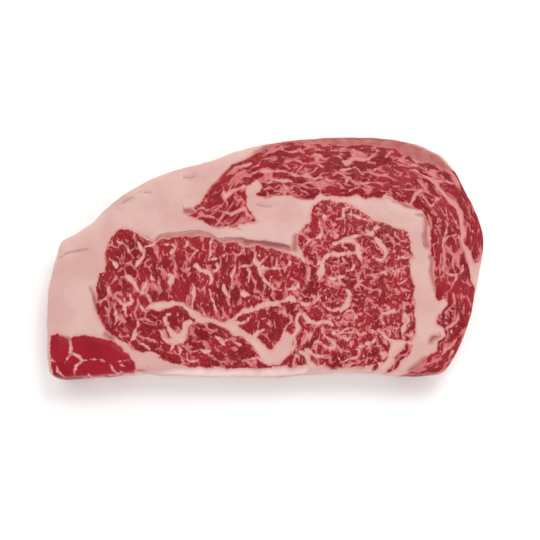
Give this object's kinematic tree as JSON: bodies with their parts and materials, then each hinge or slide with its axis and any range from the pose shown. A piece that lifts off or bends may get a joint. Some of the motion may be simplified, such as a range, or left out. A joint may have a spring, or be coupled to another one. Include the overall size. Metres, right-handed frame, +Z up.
{
  "type": "raw beef steak",
  "caption": "Thick raw rib-eye steak with a heavily marbled eye and rib cap, a broad band of fat between them, a rounded cut rim and a flat underside.",
  "frame": {"origin": "centre of the bounding box at the flat underside that the steak rests on", "axes": "+X along the long side towards the rib cap's bend, +Y from the straight boned-out side to the domed fat side, +Z up out of the cut face"},
  "size_m": [0.24, 0.135, 0.0225],
  "materials": {
    "raw_beef": "satin"
  },
  "bodies": {
    "root": {"steak": "raw_beef"}
  },
  "joints": []
}
